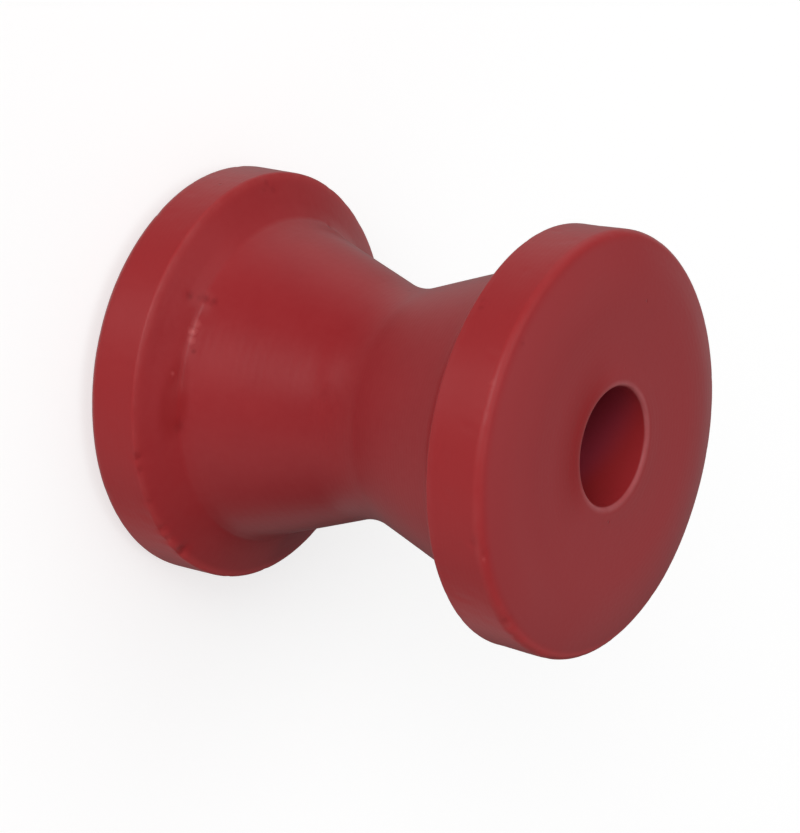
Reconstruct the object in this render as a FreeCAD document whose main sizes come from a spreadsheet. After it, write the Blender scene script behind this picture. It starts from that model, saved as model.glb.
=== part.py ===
"""Boat trailer roller: one spool of cast polyurethane with a plain bore.

Two flanges stand at the ends of a body that tapers from both sides to a
rounded waist, where the keel runs.  Each end face is flat round the bore and
curves away towards its rim.  The roller stands on one end face.  The origin
is the centre of the bore in that face and +Z runs along the bore.
All sizes are in millimetres and stand in the spreadsheet.
"""

import FreeCAD, Part
import math
import os
from enum import IntEnum

import Sketcher
from FreeCAD import Vector

# Driving dimensions: name, value, what it measures
DIMENSIONS = (
    ("roller_length", 82.0, "from end face to end face"),
    ("flange_diameter", 70.0, "across the rims"),
    ("flat_diameter", 44.0, "of the flat middle of each end face"),
    ("crown_radius", 34.0, "of the curve from the flat middle out to the rim"),
    ("flange_width", 12.2, "from an end face to the inner edge of its rim"),
    ("shoulder_depth", 3.6, "along the axis, of the sloping inner side of a flange"),
    ("root_diameter", 54.8, "of the body where it meets a flange"),
    ("waist_diameter", 39.2, "of the body at its middle"),
    ("waist_radius", 15.5, "of the arc that joins the two tapers"),
    ("bore_diameter", 20.0, "for the spindle"),
    ("face_edge_radius", 1.8, "between the curved end face and its rim"),
    ("inner_edge_radius", 0.8, "between a rim and its sloping inner side"),
    ("root_fillet_radius", 1.2, "between a flange and the body"),
    ("bore_mouth_radius", 0.6, "between the bore and an end face"),
)

# Largest distance between a wanted edge and the one that is taken for it
MATCH = 0.01
FULL_TURN = 360.0


class Spot(IntEnum):
    """The points of a sketched line, arc or circle."""

    START = 1
    END = 2
    CENTRE = 3


class Guide(IntEnum):
    """The lines that every sketch has from the start; the first begins at its origin."""

    SIDEWAYS = -1
    UPRIGHT = -2


ORIGIN_POINT = (Guide.SIDEWAYS, Spot.START)


def fill_sheet(doc):
    """Write the driving dimensions into a spreadsheet, one row each."""
    sheet = doc.addObject("Spreadsheet::Sheet", "Dimensions")
    for row, (name, value, meaning) in enumerate(DIMENSIONS, start=1):
        sheet.set("A%d" % row, name)
        sheet.set("B%d" % row, str(value))
        sheet.set("C%d" % row, meaning)
        sheet.setAlias("B%d" % row, name)
    doc.recompute()
    return sheet


def origin_plane(body, role):
    """Return the body's own origin plane with this role."""
    for feature in body.Origin.OriginFeatures:
        if feature.Role == role:
            return feature
    raise ValueError("no origin plane " + role)


def new_sketch(body, name, role):
    """Return an empty sketch that lies on an origin plane of the body."""
    sketch = body.newObject("Sketcher::SketchObject", name)
    sketch.AttachmentSupport = [(origin_plane(body, role), "")]
    sketch.MapMode = "FlatFace"
    return sketch


def drive(sketch, name, expression, kind, *references):
    """Add a dimension to the sketch, name it and bind it to the spreadsheet."""
    value = sketch.evalExpression(expression)
    index = sketch.addConstraint(Sketcher.Constraint(kind, *references, value))
    sketch.renameConstraint(index, name)
    sketch.setExpression("Constraints." + name, expression)


def draw_profile(body, sheet):
    """Draw the half section of the spool, from the axis to the rims.

    The outline runs from the bottom face up the outside to the top face and
    back down the axis.  Its upper half mirrors the lower one.
    """
    sketch = new_sketch(body, "SpoolProfile", "XZ_Plane")
    length = sheet.roller_length
    middle = length / 2
    rim = sheet.flange_diameter / 2
    flat = sheet.flat_diameter / 2
    root = sheet.root_diameter / 2
    slope_end = sheet.flange_width + sheet.shoulder_depth
    centre = Vector(sheet.waist_diameter / 2 + sheet.waist_radius, middle, 0)
    upwards = Vector(0, 0, 1)

    # A first guess at half the arc's opening, which the tangents then correct
    opening = math.atan2(root - sheet.waist_diameter / 2, middle - slope_end)
    circle = Part.Circle(centre, upwards, sheet.waist_radius)
    arc = Part.ArcOfCircle(circle, math.pi - opening, math.pi + opening)

    # How far round its circle the curve of an end face reaches
    reach = math.asin((rim - flat) / sheet.crown_radius)
    below = math.pi * 3 / 2
    above = math.pi / 2
    circle = Part.Circle(Vector(flat, sheet.crown_radius, 0), upwards, sheet.crown_radius)
    lower_crown = Part.ArcOfCircle(circle, below, below + reach)
    circle = Part.Circle(Vector(flat, length - sheet.crown_radius, 0), upwards, sheet.crown_radius)
    upper_crown = Part.ArcOfCircle(circle, above - reach, above)

    def line(start, end, construction=False):
        return sketch.addGeometry(Part.LineSegment(start, end), construction)

    inner = Vector(rim, sheet.flange_width, 0)
    foot = Vector(root, slope_end, 0)
    upper_inner = Vector(rim, length - sheet.flange_width, 0)
    upper_foot = Vector(root, length - slope_end, 0)
    bottom = Vector(0, 0, 0)
    top = Vector(0, length, 0)
    lower = {"face": line(bottom, lower_crown.StartPoint)}
    lower["crown"] = sketch.addGeometry(lower_crown, False)
    lower["rim"] = line(lower_crown.EndPoint, inner)
    lower["shoulder"] = line(inner, foot)
    lower["taper"] = line(foot, arc.EndPoint)
    waist = sketch.addGeometry(arc, False)
    upper = {"taper": line(arc.StartPoint, upper_foot)}
    upper["shoulder"] = line(upper_foot, upper_inner)
    upper["rim"] = line(upper_inner, upper_crown.StartPoint)
    upper["crown"] = sketch.addGeometry(upper_crown, False)
    upper["face"] = line(upper_crown.EndPoint, top)
    axis = line(top, bottom)
    mirror = line(Vector(0, middle, 0), centre, True)

    def relate(kind, *references):
        sketch.addConstraint(Sketcher.Constraint(kind, *references))

    def join(first, second):
        relate("Coincident", first, Spot.END, second, Spot.START)

    # The outline is closed and starts at the origin
    relate("Coincident", lower["face"], Spot.START, *ORIGIN_POINT)
    join(lower["crown"], lower["rim"])
    join(lower["rim"], lower["shoulder"])
    join(lower["shoulder"], lower["taper"])
    join(upper["taper"], upper["shoulder"])
    join(upper["shoulder"], upper["rim"])
    join(upper["rim"], upper["crown"])
    join(upper["face"], axis)
    join(axis, lower["face"])

    # Faces square to the axis and rims along it
    relate("Horizontal", lower["face"])
    relate("Horizontal", upper["face"])
    relate("Vertical", lower["rim"])

    # The two halves mirror each other about the waist
    relate("Horizontal", mirror)
    relate("PointOnObject", mirror, Spot.START, Guide.UPRIGHT)
    relate("Coincident", mirror, Spot.END, waist, Spot.CENTRE)
    relate("Symmetric", axis, Spot.START, axis, Spot.END, mirror)
    relate("Symmetric", lower["rim"], Spot.START, upper["rim"], Spot.END, mirror)
    relate("Symmetric", lower["rim"], Spot.END, upper["rim"], Spot.START, mirror)
    relate("Symmetric", lower["taper"], Spot.START, upper["taper"], Spot.END, mirror)

    # Both tapers run into the waist arc, and both faces into their curves, without a corner
    relate("Tangent", lower["taper"], Spot.END, waist, Spot.END)
    relate("Tangent", waist, Spot.START, upper["taper"], Spot.START)
    relate("Tangent", lower["face"], Spot.END, lower["crown"], Spot.START)
    relate("Tangent", upper["crown"], Spot.END, upper["face"], Spot.START)
    relate("Equal", lower["crown"], upper["crown"])

    def across(name, expression, side, position):
        drive(sketch, name, expression, "DistanceX", *ORIGIN_POINT, side, position)

    def along(name, expression, first, start, second, end):
        drive(sketch, name, expression, "DistanceY", first, start, second, end)

    across("FlatRadius", "Dimensions.flat_diameter / 2", lower["face"], Spot.END)
    across("RimRadius", "Dimensions.flange_diameter / 2", lower["rim"], Spot.START)
    across("RootRadius", "Dimensions.root_diameter / 2", lower["taper"], Spot.START)
    centre_reach = "Dimensions.waist_diameter / 2 + Dimensions.waist_radius"
    across("WaistCentre", centre_reach, waist, Spot.CENTRE)
    drive(sketch, "WaistRadius", "Dimensions.waist_radius", "Radius", waist)
    drive(sketch, "CrownRadius", "Dimensions.crown_radius", "Radius", lower["crown"])
    shoulder, face = lower["shoulder"], lower["face"]
    along("RollerLength", "Dimensions.roller_length", axis, Spot.END, axis, Spot.START)
    along("FlangeWidth", "Dimensions.flange_width", face, Spot.START, shoulder, Spot.START)
    along("ShoulderDepth", "Dimensions.shoulder_depth", shoulder, Spot.START, shoulder, Spot.END)
    return sketch


def turn_spool(body, profile):
    """Revolve the half section once round the bore's axis."""
    spool = body.newObject("PartDesign::Revolution", "Spool")
    spool.Profile = profile
    spool.ReferenceAxis = (profile, ["V_Axis"])
    spool.Angle = FULL_TURN
    return spool


def cut_bore(body, sheet):
    """Cut the spindle bore right through, from the bottom face upwards."""
    sketch = new_sketch(body, "BoreCircle", "XY_Plane")
    circle = Part.Circle(Vector(0, 0, 0), Vector(0, 0, 1), sheet.bore_diameter / 2)
    ring = sketch.addGeometry(circle, False)
    sketch.addConstraint(Sketcher.Constraint("Coincident", ring, Spot.CENTRE, *ORIGIN_POINT))
    drive(sketch, "Bore", "Dimensions.bore_diameter", "Diameter", ring)
    bore = body.newObject("PartDesign::Pocket", "Bore")
    bore.Profile = sketch
    bore.Type = "ThroughAll"
    bore.Reversed = True
    return bore


def crown_drop(sheet):
    """Return how far an end face curves back between its flat middle and its rim."""
    across = (sheet.flange_diameter - sheet.flat_diameter) / 2
    return sheet.crown_radius - math.sqrt(sheet.crown_radius**2 - across**2)


def ring_edges(shape, radius, heights):
    """Name the circular edges of this radius that lie at these heights."""
    names = []
    for number, edge in enumerate(shape.Edges, start=1):
        curve = edge.Curve
        if not isinstance(curve, Part.Circle):
            continue
        if abs(curve.Radius - radius) > MATCH:
            continue
        if any(abs(curve.Center.z - height) < MATCH for height in heights):
            names.append("Edge%d" % number)
    if len(names) != len(heights):
        raise ValueError("edges of radius %.3f: %s" % (radius, names))
    return names


def round_edges(doc, body, name, base, radius, heights, expression):
    """Round the edges of this radius at these heights and bind the fillet."""
    fillet = body.newObject("PartDesign::Fillet", name)
    fillet.Base = (base, ring_edges(base.Shape, radius, heights))
    fillet.setExpression("Radius", expression)
    doc.recompute()
    return fillet


def build_roller(doc, sheet):
    """Build the roller as one body: spool, bore, then its rounded edges."""
    body = doc.addObject("PartDesign::Body", "Roller")
    body.Label = "roller"
    body.Placement = FreeCAD.Placement()
    profile = draw_profile(body, sheet)
    spool = turn_spool(body, profile)
    doc.recompute()
    bore = cut_bore(body, sheet)
    doc.recompute()

    length = sheet.roller_length
    shoulder = sheet.flange_width + sheet.shoulder_depth
    rim_radius = sheet.flange_diameter / 2
    drop = crown_drop(sheet)
    ends = (0.0, length)
    face_edges = (drop, length - drop)
    inner_edges = (sheet.flange_width, length - sheet.flange_width)
    roots = (shoulder, length - shoulder)
    root_radius = sheet.root_diameter / 2
    bore_radius = sheet.bore_diameter / 2

    roots_done = round_edges(
        doc, body, "RootFillets", bore, root_radius, roots, "Dimensions.root_fillet_radius"
    )
    inner_done = round_edges(
        doc, body, "InnerEdges", roots_done, rim_radius, inner_edges, "Dimensions.inner_edge_radius"
    )
    faces_done = round_edges(
        doc, body, "FaceEdges", inner_done, rim_radius, face_edges, "Dimensions.face_edge_radius"
    )
    round_edges(
        doc, body, "BoreMouths", faces_done, bore_radius, ends, "Dimensions.bore_mouth_radius"
    )
    check_bore(spool, bore, sheet)
    return body


def check_bore(spool, bore, sheet):
    """Stop if the bore didn't take away exactly its own cylinder."""
    taken = spool.Shape.Volume - bore.Shape.Volume
    cylinder = Part.makeCylinder(sheet.bore_diameter / 2, sheet.roller_length).Volume
    if abs(taken - cylinder) > MATCH * cylinder:
        raise ValueError("the bore took away %.1f of %.1f cubic mm" % (taken, cylinder))


def check_document(doc, bodies):
    """Stop if an object failed or a piece isn't one valid closed solid."""
    for item in doc.Objects:
        if "Invalid" in item.State or "Error" in item.State:
            raise ValueError("%s is %s" % (item.Name, item.State))
        if item.isDerivedFrom("Sketcher::SketchObject") and item.solve() != 0:
            raise ValueError("%s doesn't solve" % item.Name)
    for body in bodies:
        shape = body.Shape
        if shape.isNull() or not shape.isValid() or len(shape.Solids) != 1:
            raise ValueError("%s isn't one valid solid" % body.Label)


def main():
    """Build the roller, check it and write it as a STEP file."""
    doc = FreeCAD.newDocument("BoatTrailerRoller")
    sheet = fill_sheet(doc)
    bodies = [build_roller(doc, sheet)]
    doc.recompute()
    check_document(doc, bodies)
    os.makedirs("parts", exist_ok=True)
    for body in bodies:
        body.Shape.exportStep("parts/%s.step" % body.Label)
        box = body.Shape.optimalBoundingBox(False)
        print(
            "%s: %.2f x %.2f x %.2f mm, %.1f cubic cm, %d faces"
            % (
                body.Label,
                box.XLength,
                box.YLength,
                box.ZLength,
                body.Shape.Volume / 1000,
                len(body.Shape.Faces),
            )
        )


main()
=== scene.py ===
"""Dresses the boat trailer roller: one cast spool of red polyurethane on a pale studio floor."""

import logging
import math
from dataclasses import dataclass, field
from enum import Enum, IntEnum
from typing import Any, Dict, List, Optional, Tuple, Union

import bmesh
import bpy
from mathutils import Matrix, Vector

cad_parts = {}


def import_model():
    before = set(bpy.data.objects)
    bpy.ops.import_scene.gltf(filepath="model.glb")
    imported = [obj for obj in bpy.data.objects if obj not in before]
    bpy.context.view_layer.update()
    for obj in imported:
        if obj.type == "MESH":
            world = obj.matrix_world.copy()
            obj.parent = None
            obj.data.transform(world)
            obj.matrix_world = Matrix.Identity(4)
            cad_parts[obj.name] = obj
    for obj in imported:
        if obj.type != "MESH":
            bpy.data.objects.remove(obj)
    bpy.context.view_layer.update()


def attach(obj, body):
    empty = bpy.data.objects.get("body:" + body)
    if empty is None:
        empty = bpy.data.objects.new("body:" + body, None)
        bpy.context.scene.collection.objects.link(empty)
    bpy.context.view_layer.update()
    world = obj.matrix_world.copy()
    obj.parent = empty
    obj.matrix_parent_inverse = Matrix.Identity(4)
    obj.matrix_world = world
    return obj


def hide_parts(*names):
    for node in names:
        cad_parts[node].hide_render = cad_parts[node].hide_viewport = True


LOG = logging.getLogger("roller")
MM = 0.001
FULL_TURN = 360.0
CASTING_NODE = "roller"
CASTING_BODY = "root"

Colour = Tuple[float, float, float, float]
Point = Tuple[float, float, float]
Span = Tuple[float, float]
Socket = bpy.types.NodeSocket
Sockets = bpy.types.bpy_prop_collection
Feed = Union[Socket, float, int, bool, Tuple[float, ...], bpy.types.Material]
Layer = Tuple[Feed, Colour]

WHITE: Colour = (1.0, 1.0, 1.0, 1.0)


class Corner(IntEnum):
    """The corners of half the section, in order from the bore out to the waist."""

    BORE_MOUTH = 0
    CROWN = 1
    FACE_EDGE = 2
    INNER_EDGE = 3
    ROOT = 4
    WAIST = 5


class MixKind(Enum):
    """What a mix node blends: its data type, the first of its two inputs, and its output."""

    NUMBER = ("FLOAT", 2, 0)
    VECTOR = ("VECTOR", 4, 1)
    COLOUR = ("RGBA", 6, 2)


def shifted(span: Span, base: float) -> Span:
    """A span that is given from a base, as plain numbers."""
    return (base + span[0], base + span[1])


@dataclass(frozen=True)
class Grain:
    """A noise pattern: lumps in a metre, how many finer layers, and how strong those are."""

    scale: float
    detail: float
    rough: float


class NodeSheet:
    """A node tree that is being laid out, with short calls for the nodes that recur."""

    column_width: float = 180.0
    measures: Tuple[str, ...] = ("LENGTH", "DISTANCE", "DOT_PRODUCT")

    def __init__(self, tree: bpy.types.NodeTree) -> None:
        """Keeps the shader or geometry tree that the nodes go into."""
        self.tree = tree

    def add(
        self, kind: str, feeds: Optional[Dict[Any, Feed]] = None, **settings: Any
    ) -> bpy.types.Node:
        """Adds one node.

        Args:
            kind: the node's type name.
            feeds: what goes into its inputs, by name or by number.
            settings: properties of the node itself.

        Returns:
            The node.
        """
        node = self.tree.nodes.new(kind)
        node.location = (len(self.tree.nodes) * self.column_width, 0.0)
        for name, value in settings.items():
            setattr(node, name, value)
        for key, value in (feeds or {}).items():
            self.feed(node.inputs[key], value)
        return node

    def feed(self, socket: Socket, value: Feed) -> None:
        """Links a socket to an input, or writes a plain value on it.

        Args:
            socket: the input to fill.
            value: another node's output, or a value.
        """
        if isinstance(value, bpy.types.NodeSocket):
            self.tree.links.new(value, socket)
        else:
            socket.default_value = value

    def math(self, operation: str, *values: Feed) -> Socket:
        """One arithmetic step on numbers, by its name."""
        return self.add("ShaderNodeMath", dict(enumerate(values)), operation=operation).outputs[0]

    def plus(self, first: Feed, second: Feed) -> Socket:
        """The sum of two numbers."""
        return self.math("ADD", first, second)

    def minus(self, first: Feed, second: Feed) -> Socket:
        """The first number less the second."""
        return self.math("SUBTRACT", first, second)

    def apart(self, first: Feed, second: Feed) -> Socket:
        """How far two numbers are apart."""
        return self.math("ABSOLUTE", self.minus(first, second))

    def times(self, first: Feed, *others: Feed) -> Feed:
        """The product of several numbers, taken in order.

        Args:
            first: the first number.
            others: those that it is multiplied by.

        Returns:
            The product's output.
        """
        for other in others:
            first = self.math("MULTIPLY", first, other)
        return first

    def vector(self, operation: str, *values: Feed) -> Socket:
        """One step on vectors, by its name; those in measures give a number."""
        node = self.add("ShaderNodeVectorMath", dict(enumerate(values)), operation=operation)
        return node.outputs["Value" if operation in self.measures else "Vector"]

    def scaled(self, vector: Feed, share: Feed) -> Socket:
        """A vector times a number."""
        feeds = {0: vector, "Scale": share}
        return self.add("ShaderNodeVectorMath", feeds, operation="SCALE").outputs[0]

    def joined(self, *parts: Feed) -> Socket:
        """A vector put together from its parts; one that isn't given is nought."""
        return self.add("ShaderNodeCombineXYZ", dict(enumerate(parts))).outputs[0]

    def split(self, vector: Feed) -> Sockets:
        """The three parts of a vector."""
        return self.add("ShaderNodeSeparateXYZ", {0: vector}).outputs

    def ramp(
        self, value: Feed, low: Feed, high: Feed, start: Feed = 0.0, end: Feed = 1.0
    ) -> Socket:
        """A smooth step in a value: start where it is below low, end where it is above high."""
        feeds = {"Value": value, "From Min": low, "From Max": high, "To Min": start, "To Max": end}
        return self.add("ShaderNodeMapRange", feeds, interpolation_type="SMOOTHSTEP").outputs[0]

    def fade(self, value: Feed, low: Feed, high: Feed) -> Socket:
        """The same step downwards: one below low, nought above high."""
        return self.ramp(value, low, high, 1.0, 0.0)

    def noise(self, place: Feed, grain: Grain, seed: Optional[Feed] = None) -> Socket:
        """Soft random values about a half.

        Args:
            place: the coordinates to read.
            grain: the pattern.
            seed: a fourth coordinate that picks one pattern, if given.

        Returns:
            The value's output.
        """
        feeds: Dict[Any, Feed] = {
            "Vector": place,
            "Scale": grain.scale,
            "Detail": grain.detail,
            "Roughness": grain.rough,
        }
        if seed is not None:
            feeds["W"] = seed
        room = "3D" if seed is None else "4D"
        return self.add("ShaderNodeTexNoise", feeds, noise_dimensions=room).outputs["Fac"]

    def mix(
        self, share: Feed, first: Feed, second: Feed, kind: MixKind = MixKind.COLOUR
    ) -> Socket:
        """Blends two colours, vectors or numbers.

        Args:
            share: how much of the second there is.
            first: the one below.
            second: the one on top.
            kind: what they are.

        Returns:
            The blend's output.
        """
        data_type, place, result = kind.value
        feeds = {0: share, place: first, place + 1: second}
        return self.add("ShaderNodeMix", feeds, data_type=data_type).outputs[result]


@dataclass
class SpoolSection:
    """The sizes of the roller's turned section, in metres, and a hair's room between its arcs."""

    length: float = 82.0 * MM
    flange_radius: float = 35.0 * MM
    flat_radius: float = 22.0 * MM
    crown_arc: float = 34.0 * MM
    flange_width: float = 12.2 * MM
    shoulder_depth: float = 3.6 * MM
    root_radius: float = 27.4 * MM
    waist_radius: float = 19.6 * MM
    waist_arc: float = 15.5 * MM
    bore_radius: float = 10.0 * MM
    face_edge: float = 1.8 * MM
    inner_edge: float = 0.8 * MM
    root_fillet: float = 1.2 * MM
    bore_mouth: float = 0.6 * MM
    arc_room: float = 1.01

    def crown_angle(self) -> float:
        """How steeply an end face has curved away where its edge begins, in radians."""
        edge = self.face_edge * self.arc_room
        return math.asin((self.flange_radius - edge - self.flat_radius) / (self.crown_arc - edge))

    def crown_corner(self) -> float:
        """The radius at which the flat and the slope beyond the crown would meet."""
        return self.flat_radius + self.crown_arc * math.tan(self.crown_angle() / 2)

    def face_edge_height(self) -> float:
        """How far behind the end face the slope and the rim would meet."""
        return (self.flange_radius - self.crown_corner()) * math.tan(self.crown_angle())

    def root_plane(self) -> float:
        """How far the roots are from the roller's middle plane."""
        return self.length / 2 - self.flange_width - self.shoulder_depth

    def taper_angle(self) -> float:
        """How steeply the barrel tapers to its waist.

        Returns:
            The angle between the taper and the axis, in radians.
        """
        along = self.root_plane()
        rise = self.root_radius - self.waist_radius - self.waist_arc
        reach = math.hypot(along, rise)
        return math.pi / 2 + math.atan2(rise, along) - math.acos(self.waist_arc / reach)

    def waist_corner(self) -> float:
        """The radius at which the two tapers would meet if the waist weren't rounded."""
        return self.root_radius - self.root_plane() * math.tan(self.taper_angle())


@dataclass(frozen=True)
class SmallSpot:
    """One small mark in the skin, in degrees and millimetres; a tint below nought is dark. A few
    pale ones are painted highlight.
    """

    turn: float
    radius: float
    height: float
    size: float
    depth: float
    tint: float

    def place(self) -> Point:
        """The mark's centre, in metres."""
        turn, out = math.radians(self.turn), self.radius
        return (out * math.cos(turn) * MM, out * math.sin(turn) * MM, self.height * MM)

    def away(self, sheet: NodeSheet, place: Feed) -> Socket:
        """How far a point is from the mark's centre."""
        return sheet.vector("DISTANCE", place, self.place())


# turn, radius, height, size, depth and tint of each mark
MARK_AND_GLINT_ROWS: Tuple[Tuple[float, ...], ...] = (
    (-93.6, 26.9, 16.5, 0.55, 0.15, -0.5),
    (-110.6, 29.5, 14.2, 1.10, 0.10, -0.42),
    (-111.8, 28.2, 15.0, 1.00, 0.10, -0.22),
    (-112.5, 27.3, 15.6, 1.10, 0.06, -0.45),
    (-112.6, 26.7, 17.0, 1.00, 0.04, -0.40),
    (-85.0, 28.7, 14.6, 0.60, 0.00, 0.22),
    (-67.2, 27.4, 15.3, 1.30, 0.10, -0.3),
    # painted highlight: the next three pale marks stand for a glint on the lower root's fillet
    (-103.0, 27.2, 15.8, 1.00, 0.00, 0.22),
    (-100.3, 27.3, 15.6, 0.90, 0.00, 0.45),
    (-97.0, 27.2, 15.7, 1.00, 0.00, 0.24),
    (-60.0, 34.5, 11.9, 1.30, 0.30, -0.45),
    (-56.4, 34.3, 12.0, 1.00, 0.20, -0.30),
    (-45.7, 34.2, 12.0, 1.00, 0.15, -0.2),
    (-34.8, 34.4, 12.0, 1.10, 0.30, -0.55),
    (-29.5, 34.5, 11.8, 1.20, 0.25, 0.2),
    (-23.0, 33.9, 12.1, 1.40, 0.40, -0.65),
    (-161.0, 33.5, 12.4, 1.00, 0.10, -0.25),
    (-162.7, 32.4, 12.9, 1.10, 0.10, -0.22),
    (-159.0, 32.6, 12.8, 0.80, 0.10, -0.20),
    # partly painted highlight: the next three faint pale marks sit where the upper face edge
    # catches the light
    (-99.9, 34.3, 78.5, 0.75, 0.00, 0.10),
    (-98.3, 34.3, 78.5, 0.60, 0.00, 0.06),
    (-92.1, 34.3, 79.0, 0.60, 0.05, 0.05),
    (-52.8, 34.3, 79.2, 0.65, 0.15, 0.22),
    (-55.0, 34.2, 79.3, 0.80, 0.15, -0.15),
    (-57.8, 34.7, 77.9, 1.00, 0.15, -0.15),
    (-28.1, 34.5, 79.1, 1.20, 0.14, 0.08),
    (-31.0, 34.4, 79.2, 1.10, 0.14, -0.22),
    (-119.6, 34.3, 71.1, 0.80, 0.06, -0.22),
    (-122.0, 34.4, 70.6, 0.70, 0.06, -0.20),
    (-113.1, 32.4, 80.0, 0.70, 0.06, -0.20),
    (-88.0, 19.8, 38.5, 1.60, 0.05, -0.12),
    (64.0, 34.5, 12.0, 1.20, 0.30, -0.7),
    (108.0, 34.4, 69.5, 1.10, 0.28, -0.6),
    (135.0, 34.4, 70.4, 1.20, 0.25, 0.2),
    (171.0, 27.2, 15.6, 0.90, 0.15, -0.6),
)
MARKS_AND_GLINTS: Tuple[SmallSpot, ...] = tuple(SmallSpot(*row) for row in MARK_AND_GLINT_ROWS)


@dataclass(frozen=True)
class SkinPoint:
    """What a shader tree knows of the point that it colours.

    Its radius is its distance from the axis, and its height that from the middle plane.
    """

    sheet: NodeSheet
    section: SpoolSection
    place: Socket
    across: Socket
    deep: Socket
    up: Socket
    radius: Socket
    height: Socket

    @classmethod
    def read(cls, sheet: NodeSheet, section: SpoolSection) -> "SkinPoint":
        """Adds the nodes that read the point.

        Args:
            sheet: the tree.
            section: the roller's sizes.

        Returns:
            The point.
        """
        place = sheet.add("ShaderNodeTexCoord").outputs["Object"]
        across, deep, up = sheet.split(place)
        radius = sheet.vector("LENGTH", sheet.joined(across, deep))
        height = sheet.apart(up, section.length / 2)
        return cls(sheet, section, place, across, deep, up, radius, height)


@dataclass(frozen=True)
class ShadePatch:
    """A broad soft patch of painted shade, darker skin colour where shade falls: its middle and
    its reach each way, in millimetres.
    """

    middle: Point
    reach: Point
    share: float
    core: float = 0.5

    def shown(self, point: SkinPoint) -> Socket:
        """How strongly the patch shows.

        Args:
            point: the point to judge.

        Returns:
            Its share, full in the core and fading to its border.
        """
        sheet = point.sheet
        middle = tuple(value * MM for value in self.middle)
        reach = tuple(value * MM for value in self.reach)
        off = sheet.vector("DIVIDE", sheet.vector("SUBTRACT", point.place, middle), reach)
        return sheet.ramp(sheet.vector("LENGTH", off), self.core, 1.0, self.share, 0.0)


@dataclass(frozen=True)
class Spots:
    """Scattered round spots: cells in a metre, a spot's radius in cells, and the pattern's seed.

    A spot has faded at softness times its radius, and most of the cells are left out.
    """

    scale: float
    size: float
    seed: float
    softness: float = 2.4
    left_out: float = 0.82

    def shown(self, point: SkinPoint) -> Feed:
        """Where the spots lie.

        Args:
            point: the point to judge.

        Returns:
            One inside a spot and nought outside.
        """
        sheet = point.sheet
        moved = sheet.vector("ADD", point.place, (self.seed, self.seed, self.seed))
        feeds = {"Vector": moved, "Scale": self.scale, "Randomness": 1.0}
        cells = sheet.add("ShaderNodeTexVoronoi", feeds).outputs
        spot = sheet.fade(cells["Distance"], self.size, self.size * self.softness)
        pick = sheet.add("ShaderNodeSeparateColor", {0: cells["Color"]}).outputs[0]
        return sheet.times(spot, sheet.math("GREATER_THAN", pick, self.left_out))


@dataclass(frozen=True)
class EdgeWearAndHighlight:
    """Pale rubbing along the flanges' edges, least on the upper flange's inner edge; partly
    painted highlight on those edges, and painted light on the face edges towards +x.
    """

    border: Span = (-1.6 * MM, -0.4 * MM)
    inner: float = 0.75
    upper_inner: float = 0.35
    upper_from: Span = (0.0, 10.0 * MM)
    inner_reach: Span = (0.3 * MM, 1.1 * MM)
    face: float = 0.28
    lower_face: float = 0.80
    lower_side: Span = (5.0 * MM, 25.0 * MM)
    face_reach: Span = (0.4 * MM, 1.8 * MM)
    breaks: Grain = Grain(260.0, 3.0, 0.6)
    break_step: Span = (0.35, 0.65)
    least: float = 0.25

    def share(self, point: SkinPoint) -> Feed:
        """How far the skin is rubbed, with the painted highlight and light on its edges.

        Args:
            point: the point to judge.

        Returns:
            The share of worn skin and painted highlight.
        """
        sheet, section = point.sheet, point.section
        end = section.length / 2
        outside = sheet.ramp(point.radius, *shifted(self.border, section.flange_radius))
        off_inner = sheet.apart(point.height, end - section.flange_width)
        most = sheet.ramp(point.up, *shifted(self.upper_from, end), self.inner, self.upper_inner)
        inner = sheet.times(sheet.fade(off_inner, *self.inner_reach), most)
        off_face = sheet.apart(point.height, end - section.face_edge_height())
        # painted light: the face edges paler towards +x
        rubbed_and_lit = sheet.ramp(point.across, *self.lower_side, self.face, self.lower_face)
        face = sheet.times(sheet.fade(off_face, *self.face_reach), rubbed_and_lit)
        breaks = sheet.noise(point.place, self.breaks)
        broken = sheet.ramp(breaks, *self.break_step, self.least, 1.0)
        return sheet.times(sheet.plus(inner, face), outside, broken)


@dataclass(frozen=True)
class Bloom:
    """A faint chalky bloom on the skin, mostly in the roots of the flanges."""

    everywhere: float = 0.16
    in_roots: float = 0.35
    root_reach: Span = (1.0 * MM, 5.0 * MM)
    patches: Grain = Grain(75.0, 4.0, 0.65)
    patch_step: Span = (0.45, 0.75)

    def share(self, point: SkinPoint) -> Feed:
        """How much bloom there is.

        Args:
            point: the point to judge.

        Returns:
            The share of bloom.
        """
        sheet = point.sheet
        off_root = sheet.apart(point.height, point.section.root_plane())
        root = sheet.ramp(off_root, *self.root_reach, self.in_roots, 0.0)
        patches = sheet.ramp(sheet.noise(point.place, self.patches), *self.patch_step)
        return sheet.times(sheet.plus(root, self.everywhere), patches)


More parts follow.
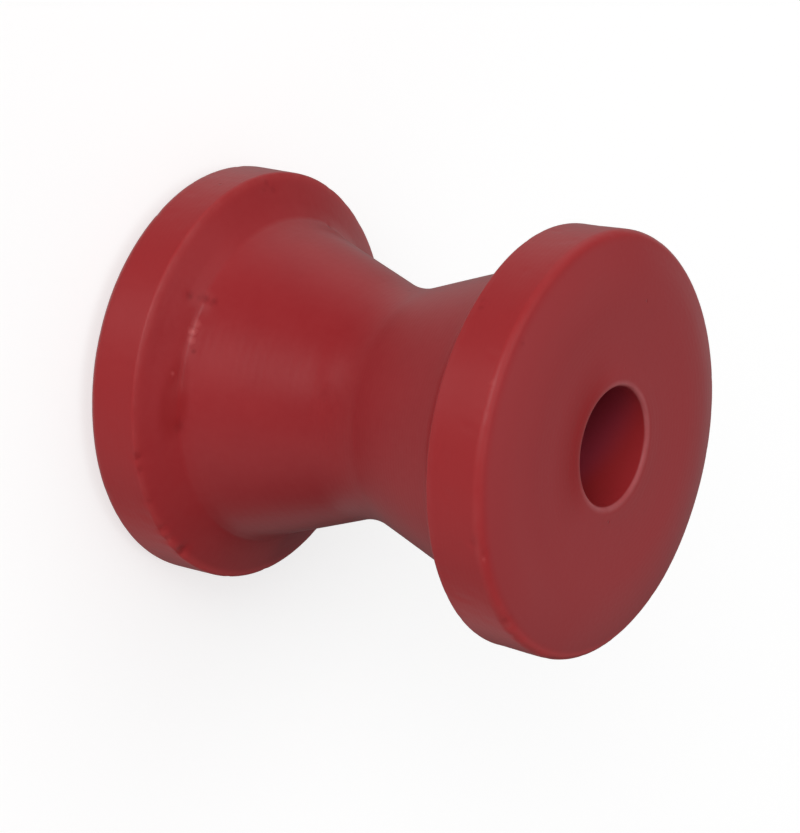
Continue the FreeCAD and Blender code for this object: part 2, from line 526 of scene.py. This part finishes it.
@dataclass(frozen=True)
class MouthMarks:
    """The pale lip round the bore's upper mouth, partly painted highlight, and painted redder
    shade beside it at the front of the mouth.

    A side runs from -1 at the front of the mouth to 1 at its back.
    """

    red_shade_reach: Span = (0.0, 9.0 * MM)
    red_shade_side: Span = (-1.0, -0.3)
    red_shade_depth: Span = (-3.0 * MM, -1.0 * MM)
    lip_reach: Span = (0.1 * MM, 1.0 * MM)
    lip_depth: Span = (-0.65 * MM, -0.30 * MM)
    lip_side: Span = (-0.95, -0.2)
    lip_least: float = 0.35
    breaks: Grain = Grain(300.0, 2.0, 0.5)
    break_step: Span = (0.3, 0.7)
    break_least: float = 0.65

    def shares(self, point: SkinPoint, offset: Point) -> Tuple[Feed, Feed]:
        """How strongly the painted redder shade and the pale lip, partly painted highlight, show.

        Args:
            point: the point to judge.
            offset: how far the mouth lies off the axis.

        Returns:
            The share of painted redder shade and the share of lip with its painted highlight.
        """
        sheet = point.sheet
        across = sheet.minus(point.across, offset[0])
        deep = sheet.minus(point.deep, offset[1])
        radius = sheet.vector("LENGTH", sheet.joined(across, deep))
        side = sheet.math("DIVIDE", deep, radius)
        bore, end = point.section.bore_radius, point.section.length
        # painted shade: redder, darker skin at the front of the mouth
        stain = sheet.times(
            sheet.fade(radius, *shifted(self.red_shade_reach, bore)),
            sheet.fade(side, *self.red_shade_side),
            sheet.ramp(point.up, *shifted(self.red_shade_depth, end)),
        )
        breaks = sheet.noise(point.place, self.breaks)
        lip = sheet.times(
            sheet.fade(radius, *shifted(self.lip_reach, bore)),
            sheet.ramp(point.up, *shifted(self.lip_depth, end)),
            sheet.ramp(side, *self.lip_side, self.lip_least, 1.0),
            sheet.ramp(breaks, *self.break_step, self.break_least, 1.0),
        )
        return stain, lip


@dataclass(frozen=True)
class SkinRelief:
    """The skin's finest relief: its grain, the rings that the turned mould left, and the pits."""

    grain: Grain = Grain(900.0, 2.0, 0.45)
    grain_depth: float = 0.02 * MM
    ring_pitch: float = 0.9 * MM
    ring_depth: float = 0.004 * MM
    pit_depth: float = 0.05 * MM

    def normal(self, point: SkinPoint, pits: Feed) -> Feed:
        """Lays the three over one another.

        Args:
            point: the point to shape.
            pits: the scattered pits.

        Returns:
            The shading normal.
        """
        sheet = point.sheet
        skin = sheet.noise(point.place, self.grain)
        along = sheet.plus(point.radius, point.up)
        wave = sheet.math("SINE", sheet.times(along, 2 * math.pi / self.ring_pitch))
        rings = sheet.math("MULTIPLY_ADD", wave, 0.5, 0.5)
        feeds: Dict[Any, Feed] = {"Strength": 1.0}
        for height, depth, sunk in (
            (skin, self.grain_depth, False),
            (rings, self.ring_depth, False),
            (pits, self.pit_depth, True),
        ):
            feeds.update({"Distance": depth, "Height": height})
            feeds["Normal"] = sheet.add("ShaderNodeBump", feeds, invert=sunk).outputs[0]
        return feeds["Normal"]


@dataclass(frozen=True)
class CastPolyurethane:
    """Red polyurethane as it leaves the mould: satin and a little mottled, with painted light,
    shade, sheen, highlights and reflection laid into its colour.
    """

    name: str = "cast_polyurethane_red"
    body: Colour = (0.354, 0.0262, 0.0302, 1.0)
    deep: Colour = (0.330, 0.0232, 0.0272, 1.0)
    # pale colour of wear, grain and the edges' painted highlight
    worn: Colour = (0.40, 0.050, 0.052, 1.0)
    bloom: Colour = (0.36, 0.034, 0.038, 1.0)
    # painted shade and sheen: the end faces darker and greyer than the rims, greyer still on their
    # outer ring towards -y
    face: Colour = (0.335, 0.0300, 0.0345, 1.0)
    handled: Colour = (0.338, 0.0400, 0.0440, 1.0)
    # painted light: the rims brighter than the skin, and paler still towards +x
    rim: Colour = (0.385, 0.0300, 0.0330, 1.0)
    rim_lit_side: Colour = (0.520, 0.0470, 0.0500, 1.0)
    # bore wall colours: redder near the mouth, and bluer deeper in as painted shade and reflection
    hollow: Colour = (0.340, 0.0230, 0.0265, 1.0)
    hollow_painted_reflection: Colour = (0.340, 0.0340, 0.0550, 1.0)
    # pale lip colour: partly a pale burr, partly painted highlight on the mouth's edge
    lip: Colour = (0.400, 0.086, 0.092, 1.0)
    # painted shade: darker red beside the bore's mouth and in the lower root
    stain: Colour = (0.290, 0.0110, 0.0130, 1.0)
    # pale colour of flecks and of the painted glints
    fleck: Colour = (0.75, 0.18, 0.175, 1.0)
    speck: Colour = (0.16, 0.007, 0.010, 1.0)
    # colour of the painted shadow that the barrel casts on the lower flange
    shade: Colour = (0.20, 0.010, 0.018, 1.0)
    clouding: Grain = Grain(42.0, 3.0, 0.55)
    cloud_step: Span = (0.32, 0.68)
    grain: Grain = Grain(650.0, 3.0, 0.6)
    grain_step: Span = (0.3, 0.7)
    grain_share: float = 0.10
    rim_border: Span = (-2.2 * MM, -0.5 * MM)
    rim_share: float = 0.8
    rim_lit_span: Span = (22.0 * MM, 34.0 * MM)
    face_border: Span = (-2.6 * MM, -1.9 * MM)
    sheen_ring: Span = (0.0, 6.0 * MM)
    sheen_side: Span = (-17.0 * MM, -1.0 * MM)
    sheen_share: float = 0.85
    hollow_border: Span = (0.2 * MM, 0.9 * MM)
    reflection_lean: float = 0.5
    reflection_depth: Span = (-9.5 * MM, -3.0 * MM)
    # painted shadow on the lower flange's inner side, under the barrel
    patch: ShadePatch = ShadePatch((27.0, 19.5, 13.3), (9.0, 12.5, 4.0), 0.45)
    # painted shade: darker red on the flange wall beside the lower root's crease
    painted_root_shade: ShadePatch = ShadePatch((7.0, -27.2, 15.1), (9.0, 4.0, 2.4), 0.6)
    ragged: Grain = Grain(900.0, 2.0, 0.6)
    ragged_reach: float = 2.0
    flecks: Spots = Spots(150.0, 0.022, 3.7)
    fleck_share: float = 0.25
    pits: Spots = Spots(170.0, 0.025, 8.3)
    pit_share: float = 0.35
    edge_wear_and_highlight: EdgeWearAndHighlight = EdgeWearAndHighlight()
    chalk: Bloom = Bloom()
    mouth: MouthMarks = MouthMarks()
    relief: SkinRelief = SkinRelief()
    roughness: float = 0.305
    roughness_spread: float = 0.05
    rough_step: Span = (0.3, 0.7)
    worn_roughness: float = 0.10
    specular: float = 0.168

    def make(self, section: SpoolSection, mouth_offset: Point) -> bpy.types.Material:
        """Builds the material: the skin's own colour with one layer after another over it.

        Args:
            section: the roller's sizes, for the places where it wears.
            mouth_offset: how far the bore's upper mouth lies off the axis.

        Returns:
            The material.
        """
        material = bpy.data.materials.new(self.name)
        material.use_nodes = True
        material.node_tree.nodes.clear()
        sheet = NodeSheet(material.node_tree)
        point = SkinPoint.read(sheet, section)
        clouds = sheet.noise(point.place, self.clouding)
        worn = self.edge_wear_and_highlight.share(point)
        chalky = self.chalk.share(point)
        pits = self.pits.shown(point)
        red_shaded, lip = self.mouth.shares(point, mouth_offset)
        # layers over the skin colour; several are painted shadow, shade, sheen or highlight rather
        # than marks in the skin
        layers: List[Layer] = [
            (chalky, self.bloom),
            (self.patch.shown(point), self.shade),
            (self.painted_root_shade.shown(point), self.stain),
            (red_shaded, self.stain),
            (lip, self.lip),
            (worn, self.worn),
        ]
        colour = self.zones(point, clouds)
        for share, paint in layers + self.marks(point, pits):
            colour = sheet.mix(share, colour, paint)
        spread = self.roughness_spread / 2
        least, most = self.roughness - spread, self.roughness + spread
        rough = sheet.ramp(clouds, *self.rough_step, least, most)
        rough = sheet.math("MULTIPLY_ADD", sheet.plus(worn, chalky), self.worn_roughness, rough)
        shader = sheet.add("ShaderNodeBsdfPrincipled")
        shader.inputs["Specular IOR Level"].default_value = self.specular
        sheet.feed(shader.inputs["Base Color"], colour)
        sheet.feed(shader.inputs["Roughness"], rough)
        sheet.feed(shader.inputs["Normal"], self.relief.normal(point, pits))
        sheet.add("ShaderNodeOutputMaterial", {"Surface": shader.outputs[0]})
        return material

    def zones(self, point: SkinPoint, clouds: Feed) -> Socket:
        """The skin's own colour, clouded, with painted light on the rims, painted shade and sheen
        on the end faces, and painted shade and reflection in the bore.

        Args:
            point: the point to colour.
            clouds: the slow clouding.

        Returns:
            The colour.
        """
        sheet, section = point.sheet, point.section
        end = section.length / 2
        grain = sheet.noise(point.place, self.grain)
        grained = sheet.ramp(grain, *self.grain_step, 0.0, self.grain_share)
        colour = sheet.mix(sheet.ramp(clouds, *self.cloud_step), self.deep, self.body)
        colour = sheet.mix(grained, colour, self.worn)
        # painted light on the rims, paler towards +x
        outside = sheet.ramp(point.radius, *shifted(self.rim_border, section.flange_radius))
        rim = sheet.mix(sheet.ramp(point.across, *self.rim_lit_span), self.rim, self.rim_lit_side)
        colour = sheet.mix(sheet.times(outside, self.rim_share), colour, rim)
        # painted sheen: greyer on the faces' outer ring towards -y
        ring = shifted(self.sheen_ring, section.flat_radius)
        handled = sheet.ramp(point.radius, *ring, 0.0, self.sheen_share)
        handled = sheet.times(handled, sheet.fade(point.deep, *self.sheen_side))
        on_face = sheet.ramp(point.height, *shifted(self.face_border, end))
        on_face = sheet.times(on_face, sheet.minus(1.0, outside))
        colour = sheet.mix(on_face, colour, sheet.mix(handled, self.face, self.handled))
        inside = sheet.fade(point.radius, *shifted(self.hollow_border, section.bore_radius))
        # painted shade and reflection: bluer deeper in the bore and towards -x, redder near the
        # mouth
        outward = sheet.math("MULTIPLY_ADD", point.across, self.reflection_lean, point.height)
        mouth = sheet.ramp(outward, *shifted(self.reflection_depth, end))
        return sheet.mix(inside, colour, sheet.mix(mouth, self.hollow_painted_reflection, self.hollow))

    def marks(self, point: SkinPoint, pits: Feed) -> List[Layer]:
        """The single marks, some pale ones painted highlight, and the fine scattered specks and
        flecks.

        Args:
            point: the point to colour.
            pits: the scattered pits.

        Returns:
            Each layer's share and colour.
        """
        sheet = point.sheet
        ragged = sheet.noise(point.place, self.ragged)
        dark: Feed = 0.0
        pale_and_glint: Feed = 0.0
        for mark in MARKS_AND_GLINTS:
            reach = sheet.times(ragged, self.ragged_reach * mark.size * MM)
            share = sheet.ramp(mark.away(sheet, point.place), 0.0, reach, abs(mark.tint), 0.0)
            if mark.tint < 0:
                dark = sheet.math("MAXIMUM", dark, share)
            else:
                pale_and_glint = sheet.math("MAXIMUM", pale_and_glint, share)
        return [
            (dark, self.speck),
            (pale_and_glint, self.fleck),
            (sheet.times(self.flecks.shown(point), self.fleck_share), self.fleck),
            (sheet.times(pits, self.pit_share), self.speck),
        ]


@dataclass(frozen=True)
class CastingDrift:
    """How far this casting strays from its drawing, always inward: the sizes that the tree takes.

    Offsets are across the axis, and the crisp stretch is given in turns round it.
    """

    groove_shift: float = 0.46 * MM
    upper_offset: Point = (0.19 * MM, 0.07 * MM, 0.0)
    lower_offset: Point = (-0.15 * MM, 0.08 * MM, 0.0)
    rim_draft: float = 0.30 * MM
    lip_height: float = 0.15 * MM
    lip_width: float = 2.5 * MM
    mouth_offset: Point = (-0.10 * MM, -0.41 * MM, 0.0)
    mouth_narrowing: float = 0.30 * MM
    root_fill: float = 0.50 * MM
    root_reach: float = 3.0 * MM
    crisp_from: float = 254.0 / FULL_TURN
    crisp_to: float = 284.0 / FULL_TURN
    unevenness: float = 0.22 * MM
    chipping: float = 0.12 * MM
    seed: float = 5.0


@dataclass(frozen=True)
class DriftShape:
    """How the casting's errors come and go over the skin; a fill's way is outward and upward."""

    offset_border: float = 2.0 * MM
    draft_end: float = 3.0 * MM
    lip_start: float = 1.0 * MM
    mouth_reach: Span = (0.7 * MM, 3.0 * MM)
    fill_way: Span = (0.74, -0.67)
    fill_blunting: float = 0.6 * MM
    fill_power: float = 2.0
    crisp_rise: float = 6.0 / FULL_TURN
    crisp_fall: float = 11.0 / FULL_TURN
    lumps: Grain = Grain(34.0, 1.0, 0.4)
    lump_step: Span = (0.1, 0.9)
    true_bore: float = 2.0 * MM
    true_border: float = 6.0 * MM
    chips: Grain = Grain(420.0, 2.0, 0.6)
    chip_step: Span = (0.52, 0.80)
    chip_border: float = 1.5 * MM
    dent_reach: float = 1.4


@dataclass
class RollerCasting:
    """The roller itself: the turned section carried round the bore, as uneven as a casting."""

    section: SpoolSection = field(default_factory=SpoolSection)
    drift: CastingDrift = field(default_factory=CastingDrift)
    shape: DriftShape = field(default_factory=DriftShape)
    finish: CastPolyurethane = field(default_factory=CastPolyurethane)
    name: str = "roller_casting"
    around: int = 360
    step: float = 0.85 * MM
    bore_step: float = 3.0 * MM
    bore_slack: float = 0.01 * MM
    arc_points: Tuple[int, ...] = (6, 12, 8, 6, 7, 22)

    def build(self) -> bpy.types.Object:
        """Makes the casting's mesh and gives it its finish.

        Returns:
            The finished piece.
        """
        material = self.finish.make(self.section, self.drift.mouth_offset)
        start_name = self.name + "_start"
        start = bpy.data.objects.new(start_name, bpy.data.meshes.new(start_name))
        bpy.context.scene.collection.objects.link(start)
        sheet = CastingTree(self)
        sheet.lay_out(material)
        modifier = start.modifiers.new("revolved section", "NODES")
        modifier.node_group = sheet.tree
        for label, value in self.inputs().items():
            modifier[sheet.tree.interface.items_tree[label].identifier] = value
        graph = bpy.context.evaluated_depsgraph_get()
        mesh = bpy.data.meshes.new_from_object(start.evaluated_get(graph), depsgraph=graph)
        mesh.name = self.name
        start.modifiers.clear()
        bpy.data.objects.remove(start)
        piece = bpy.data.objects.new(self.name, mesh)
        bpy.context.scene.collection.objects.link(piece)
        return piece

    def inputs(self) -> Dict[str, Union[float, int, Point]]:
        """The named sizes that the tree takes: the section's, the drift's and the mesh's own.

        Returns:
            A value for each input's name, such as Flange Radius.
        """
        section = self.section
        values = {**vars(section), **vars(self.drift)}
        for name in ("flat_radius", "waist_radius", "arc_room"):
            del values[name]
        values.update(
            crown_corner=section.crown_corner(),
            face_edge_height=section.face_edge_height(),
            waist_corner=section.waist_corner(),
            step=self.step,
            bore_step=self.bore_step,
            around=self.around,
        )
        return {name.replace("_", " ").title(): value for name, value in values.items()}

    def mount(self, piece: bpy.types.Object) -> None:
        """Hands the piece to the frame: it rides on the root body and stands for the solid.

        Args:
            piece: the finished casting.
        """
        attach(piece, CASTING_BODY)
        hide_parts(CASTING_NODE)


class CastingTree(NodeSheet):
    """The geometry tree that draws a casting's section and carries it round the axis."""

    kinds: Dict[type, str] = {
        int: "NodeSocketInt",
        float: "NodeSocketFloat",
        tuple: "NodeSocketVector",
    }

    def __init__(self, casting: RollerCasting) -> None:
        """Makes the tree with a named input for each of the casting's sizes.

        Args:
            casting: what is to be made.
        """
        super().__init__(bpy.data.node_groups.new("revolved section", "GeometryNodeTree"))
        self.casting = casting
        interface = self.tree.interface
        for label, value in casting.inputs().items():
            interface.new_socket(label, in_out="INPUT", socket_type=self.kinds[type(value)])
        interface.new_socket("Geometry", in_out="OUTPUT", socket_type="NodeSocketGeometry")
        self.sizes = self.add("NodeGroupInput").outputs

    def geo(self, kind: str, feeds: Optional[Dict[Any, Feed]] = None, **settings: Any) -> Socket:
        """Adds one geometry node and gives its first output."""
        return self.add("GeometryNode" + kind, feeds, **settings).outputs[0]

    def lay_out(self, material: bpy.types.Material) -> None:
        """Draws the section, carries it round with the casting's errors and gives it its finish.

        Args:
            material: the finish.
        """
        drawn = self.split(self.geo("InputPosition"))
        kept = self.captured(self.section_curve(), {"radius": drawn[0], "height": drawn[1]})
        profile, radius, height = kept[:3]
        circle = {"Resolution": self.sizes["Around"], "Radius": self.sizes["Flange Radius"]}
        ring = self.geo("CurvePrimitiveCircle", circle, mode="RADIUS")
        path, turn = self.captured(ring, {"turn": self.geo("SplineParameter")})[:2]
        mesh = self.geo("CurveToMesh", {"Curve": path, "Profile Curve": profile})
        spot = self.strayed(*self.root_fill(radius, height, turn), turn)
        mesh = self.geo("SetPosition", {0: self.geo("FlipFaces", {0: mesh}), "Position": spot})
        mesh = self.shrinkage(mesh, radius)
        mesh = self.geo("SetShadeSmooth", {0: mesh, "Shade Smooth": True})
        mesh = self.geo("RealizeInstances", {0: mesh})
        mesh = self.geo("SetMaterial", {0: mesh, "Material": material})
        self.add("NodeGroupOutput", {0: mesh})

    def captured(self, curve: Feed, values: Dict[str, Feed]) -> Sockets:
        """Keeps values on a curve's points, so that they can be read after the sweep.

        Args:
            curve: the curve.
            values: each value by its name.

        Returns:
            The curve's output, and then the values' outputs in order.
        """
        node = self.add("GeometryNodeCaptureAttribute", {0: curve}, domain="POINT")
        for number, (label, value) in enumerate(values.items()):
            node.capture_items.new("FLOAT", label)
            self.feed(node.inputs[number + 1], value)
        return node.outputs

    def section_curve(self) -> Socket:
        """Draws the closed section, radius across and height up, with rounded corners.

        Returns:
            The curve's output.
        """
        sizes = self.sizes
        count = 2 * Corner.WAIST + 1
        index = self.geo("InputIndex")
        folded = self.math("MINIMUM", index, self.minus(float(count - 1), index))
        shoulder = self.plus(sizes["Flange Width"], sizes["Shoulder Depth"])
        middle = self.times(sizes["Length"], 0.5)
        flange = sizes["Flange Radius"]
        corners = {
            Corner.BORE_MOUTH: (sizes["Bore Radius"], 0.0, sizes["Bore Mouth"]),
            Corner.CROWN: (sizes["Crown Corner"], 0.0, sizes["Crown Arc"]),
            Corner.FACE_EDGE: (flange, sizes["Face Edge Height"], sizes["Face Edge"]),
            Corner.INNER_EDGE: (flange, sizes["Flange Width"], sizes["Inner Edge"]),
            Corner.ROOT: (sizes["Root Radius"], shoulder, sizes["Root Fillet"]),
            Corner.WAIST: (sizes["Waist Corner"], middle, sizes["Waist Arc"]),
        }
        radii, heights, roundings = zip(*corners.values())
        low = self.choice("FLOAT", folded, heights)
        upper = self.math("GREATER_THAN", index, float(Corner.WAIST))
        height = self.apart(self.times(upper, sizes["Length"]), low)
        groove = self.math("GREATER_THAN", folded, float(Corner.FACE_EDGE))
        height = self.minus(height, self.times(groove, sizes["Groove Shift"]))
        spot = self.joined(self.choice("FLOAT", folded, radii), height)
        line = self.geo("MeshLine", {"Count": count}, mode="OFFSET", count_mode="TOTAL")
        line = self.geo("SetPosition", {0: line, "Position": spot})
        curve = self.geo("MeshToCurve", {0: line})
        fillet = {
            "Curve": self.geo("SetSplineCyclic", {0: curve, "Cyclic": True}),
            "Count": self.choice("INT", folded, self.casting.arc_points),
            "Radius": self.choice("FLOAT", folded, roundings),
        }
        return self.divided(self.geo("FilletCurve", fillet, mode="POLY"))

    def choice(self, kind: str, index: Feed, values: Tuple[Feed, ...]) -> Socket:
        """Picks one of several values by number.

        Args:
            kind: FLOAT or INT.
            index: which one is wanted.
            values: what there is to pick from.

        Returns:
            The picked value's output.
        """
        node = self.add("GeometryNodeIndexSwitch", data_type=kind)
        while len(node.index_switch_items) < len(values):
            node.index_switch_items.new()
        for number, value in enumerate((index, *values)):
            self.feed(node.inputs[number], value)
        return node.outputs[0]

    def divided(self, curve: Feed) -> Socket:
        """Cuts the section's long straight runs into short steps, coarser ones inside the bore.

        Args:
            curve: the rounded section.

        Returns:
            The divided curve's output.
        """
        sizes = self.sizes
        place = self.geo("InputPosition")
        count = self.geo("AttributeDomainSize", {0: curve}, component="CURVE")
        following = self.math("MODULO", self.plus(self.geo("InputIndex"), 1.0), count)
        feeds = {"Index": following, "Value": place}
        other = self.geo("FieldAtIndex", feeds, data_type="FLOAT_VECTOR", domain="POINT")
        run = self.vector("DISTANCE", place, other)
        wall = self.plus(sizes["Bore Radius"], self.casting.bore_slack)
        inside = self.math("LESS_THAN", self.split(place)[0], wall)
        extra = self.times(inside, self.minus(sizes["Bore Step"], sizes["Step"]))
        step = self.plus(sizes["Step"], extra)
        cuts = self.math("FLOOR", self.math("DIVIDE", run, step))
        return self.geo("SubdivideCurve", {0: curve, "Cuts": cuts})

    def root_fill(self, radius: Feed, height: Feed, turn: Feed) -> Tuple[Socket, Socket]:
        """Fills the roots softly, all but the stretch where the mould's edge left one crisp.

        Args:
            radius: the point's distance from the axis in the drawing.
            height: its height in the drawing.
            turn: how far round the axis it is, from nought to one.

        Returns:
            The point's radius and height with the fill.
        """
        sizes, shape = self.sizes, self.casting.shape
        half = self.times(sizes["Length"], 0.5)
        above = self.minus(height, self.minus(half, sizes["Groove Shift"]))
        shoulder = self.plus(sizes["Flange Width"], sizes["Shoulder Depth"])
        across = self.minus(radius, sizes["Root Radius"])
        along = self.minus(self.math("ABSOLUTE", above), self.minus(half, shoulder))
        away = self.vector("LENGTH", self.joined(across, along, shape.fill_blunting))
        near = self.minus(1.0, self.math("DIVIDE", away, sizes["Root Reach"]))
        near = self.math("MAXIMUM", near, 0.0)
        begin, end = sizes["Crisp From"], sizes["Crisp To"]
        crisp = self.times(
            self.ramp(turn, self.minus(begin, shape.crisp_rise), begin),
            self.fade(turn, self.minus(end, shape.crisp_fall), end),
            self.math("LESS_THAN", above, 0.0),
        )
        fill = self.times(
            self.math("POWER", near, shape.fill_power),
            sizes["Root Fill"],
            self.minus(1.0, crisp),
        )
        outward, upward = (self.times(fill, share) for share in shape.fill_way)
        inward = self.times(self.math("SIGN", above), upward)
        return self.plus(radius, outward), self.plus(height, inward)

    def strayed(self, radius: Feed, height: Feed, turn: Feed) -> Socket:
        """Places a point of the section round the axis, with the casting's own errors.

        Args:
            radius: the point's distance from the axis, with the fill.
            height: its height, with the fill.
            turn: how far round the axis it is, from nought to one.

        Returns:
            The point's place.
        """
        sizes, shape = self.sizes, self.casting.shape
        bore, length, flange = sizes["Bore Radius"], sizes["Length"], sizes["Flange Radius"]
        half = self.times(length, 0.5)
        upper = self.math("GREATER_THAN", self.minus(height, half), 0.0)
        offset_end = self.minus(flange, shape.offset_border)
        outer = self.ramp(radius, sizes["Root Radius"], offset_end)
        offset = self.mix(upper, sizes["Lower Offset"], sizes["Upper Offset"], MixKind.VECTOR)
        narrow = self.minus(length, sizes["Flange Width"])
        draft = self.fade(height, narrow, self.minus(length, shape.draft_end))
        draft = self.times(draft, upper, sizes["Rim Draft"])
        less = self.times(outer, self.plus(self.vector("LENGTH", offset), draft))
        near, far = (self.plus(bore, reach) for reach in shape.mouth_reach)
        mouth = self.times(self.fade(radius, near, far), self.ramp(height, half, length))
        less = self.plus(less, self.times(mouth, sizes["Mouth Narrowing"]))
        reach = self.minus(radius, less)
        lip_start = self.plus(bore, shape.lip_start)
        sunk = self.ramp(radius, lip_start, self.plus(lip_start, sizes["Lip Width"]))
        sunk = self.times(sunk, sizes["Lip Height"], upper, self.ramp(height, narrow, length))
        angle = self.times(turn, 2 * math.pi)
        around = self.joined(
            self.times(reach, self.math("COSINE", angle)),
            self.times(reach, self.math("SINE", angle)),
            self.minus(height, sunk),
        )
        for way, share in ((offset, outer), (sizes["Mouth Offset"], mouth)):
            around = self.vector("ADD", around, self.scaled(way, share))
        return around

    def shrinkage(self, mesh: Feed, radius: Feed) -> Socket:
        """Draws the skin in a little here and there, as a casting shrinks, but not the bore.

        Args:
            mesh: the revolved mesh.
            radius: the distance from the axis in the drawing.

        Returns:
            The uneven mesh's output.
        """
        sizes, shape = self.sizes, self.casting.shape
        place = self.geo("InputPosition")
        normal = self.geo("InputNormal")
        clear = self.plus(sizes["Bore Radius"], shape.true_bore)
        free = self.ramp(radius, clear, self.plus(clear, shape.true_border))
        lumps = self.ramp(self.noise(place, shape.lumps, sizes["Seed"]), *shape.lump_step)
        depth = self.times(lumps, free, sizes["Unevenness"])
        near_edge = self.minus(sizes["Flange Radius"], shape.chip_border)
        edge = self.ramp(radius, near_edge, sizes["Flange Radius"])
        chips = self.ramp(self.noise(place, shape.chips, sizes["Seed"]), *shape.chip_step)
        depth = self.plus(depth, self.times(chips, edge, sizes["Chipping"]))
        for mark in MARKS_AND_GLINTS:
            reach = mark.size * MM * shape.dent_reach
            dent = self.ramp(mark.away(self, place), 0.0, reach, mark.depth * MM, 0.0)
            depth = self.plus(depth, dent)
        offset = self.scaled(normal, self.times(depth, -1.0))
        return self.geo("SetPosition", {0: mesh, "Offset": offset})


@dataclass
class StudioFloor:
    """The plain pale floor that the roller stands on."""

    name: str = "studio_floor"
    half_width: float = 3.0
    cells: int = 4
    paint: Colour = (0.48, 0.48, 0.48, 1.0)
    glow: float = 0.66
    roughness: float = 0.9

    def build(self) -> bpy.types.Object:
        """Makes the floor, which the roller's reflections and bounced light don't see.

        Returns:
            The floor.
        """
        mesh = bpy.data.meshes.new(self.name)
        shape = bmesh.new()
        bmesh.ops.create_grid(
            shape, x_segments=self.cells, y_segments=self.cells, size=self.half_width
        )
        shape.to_mesh(mesh)
        shape.free()
        floor = bpy.data.objects.new(self.name, mesh)
        bpy.context.scene.collection.objects.link(floor)
        mesh.materials.append(self.material())
        floor.visible_glossy = False
        floor.visible_diffuse = False
        return floor

    def material(self) -> bpy.types.Material:
        """The floor's matt pale paint.

        Returns:
            The material.
        """
        material = bpy.data.materials.new("pale_floor")
        material.use_nodes = True
        shader = material.node_tree.nodes["Principled BSDF"]
        shader.inputs["Base Color"].default_value = self.paint
        shader.inputs["Roughness"].default_value = self.roughness
        shader.inputs["Specular IOR Level"].default_value = 0.0
        shader.inputs["Emission Color"].default_value = WHITE
        shader.inputs["Emission Strength"].default_value = self.glow
        return material


@dataclass(frozen=True)
class WallGlow:
    """A broad patch of light on the studio's walls, brightest in its middle, fading all round.

    The azimuth is in degrees from the front, positive to the right; the elevation above the floor.
    """

    azimuth: float
    elevation: float
    focus: float
    strength: float

    def way(self) -> Point:
        """The way from the roller to the middle of the patch.

        Returns:
            The way, one metre long.
        """
        turn, rise = math.radians(self.azimuth), math.radians(self.elevation)
        level = math.cos(rise)
        return (math.sin(turn) * level, -math.cos(turn) * level, math.sin(rise))


@dataclass
class Studio:
    """The soft light round the roller: pale walls that glow most behind the camera."""

    glows: Tuple[WallGlow, ...] = (
        WallGlow(-16.0, 24.0, 30.0, 6.00),
        WallGlow(0.0, 6.0, 30.0, 1.49),
        WallGlow(-16.0, -30.0, 30.0, 1.77),
        WallGlow(-45.0, 68.0, 8.0, 1.95),
        WallGlow(-100.0, 0.0, 8.0, 0.95),
        WallGlow(60.0, 0.0, 8.0, 0.76),
        WallGlow(60.0, -35.0, 6.0, 0.33),
        WallGlow(-120.0, -35.0, 6.0, 0.465),
        WallGlow(0.0, -90.0, 6.0, 0.985),
        WallGlow(124.0, -25.0, 20.0, 0.505),
        WallGlow(160.0, 33.0, 8.0, 0.475),
        WallGlow(-160.0, 33.0, 8.0, 0.21),
        WallGlow(-164.0, -8.0, 20.0, 0.46),
    )
    backdrop: float = 1.0

    def build(self) -> None:
        """Sets the light of the room, the plain backdrop and how colours are shown."""
        world = bpy.data.worlds.new("studio_air")
        bpy.context.scene.world = world
        world.use_nodes = True
        sheet = NodeSheet(world.node_tree)
        way = sheet.add("ShaderNodeTexCoord").outputs["Generated"]
        total: Feed = 0.0
        for glow in self.glows:
            facing = sheet.vector("DOT_PRODUCT", way, glow.way())
            falling = sheet.times(sheet.minus(facing, 1.0), glow.focus)
            shining = sheet.math("EXPONENT", falling)
            total = sheet.math("MULTIPLY_ADD", shining, glow.strength, total)
        seen = sheet.add("ShaderNodeLightPath").outputs["Is Camera Ray"]
        background = world.node_tree.nodes["Background"]
        shown = sheet.mix(seen, total, self.backdrop, MixKind.NUMBER)
        sheet.feed(background.inputs["Strength"], shown)
        background.inputs["Color"].default_value = WHITE
        view = bpy.context.scene.view_settings
        view.view_transform = "Standard"
        view.look = "None"


@dataclass
class Viewpoint:
    """The camera, standing and turned as the one that took the photograph."""

    name: str = "viewpoint"
    place: Point = (0.0, -0.47240, 0.35816)
    right: Point = (-0.19961, 0.54729, 0.81279)
    up: Point = (-0.97987, -0.10851, -0.16757)
    lens: float = 149.30
    sensor: float = 36.0
    clip: Span = (0.01, 20.0)

    def build(self) -> bpy.types.Object:
        """Sets up the camera and makes it the scene's own.

        Returns:
            The camera.
        """
        data = bpy.data.cameras.new(self.name)
        data.lens = self.lens
        data.sensor_width = self.sensor
        data.clip_start, data.clip_end = self.clip
        camera = bpy.data.objects.new(self.name, data)
        bpy.context.scene.collection.objects.link(camera)
        right = Vector(self.right).normalized()
        back = right.cross(Vector(self.up)).normalized()
        up = back.cross(right)
        turn = Matrix((right, up, back)).transposed()
        camera.matrix_world = Matrix.Translation(Vector(self.place)) @ turn.to_4x4()
        bpy.context.scene.camera = camera
        return camera


def main() -> None:
    """Loads the frame, builds each piece in order and reports it."""
    logging.basicConfig(level=logging.INFO, format="%(name)s: %(message)s")
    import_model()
    Viewpoint().build()
    Studio().build()
    StudioFloor().build()
    casting = RollerCasting()
    piece = casting.build()
    casting.mount(piece)
    points, faces = len(piece.data.vertices), len(piece.data.polygons)
    LOG.info("%s: %d points, %d faces", piece.name, points, faces)


if __name__ == "__main__":
    main()
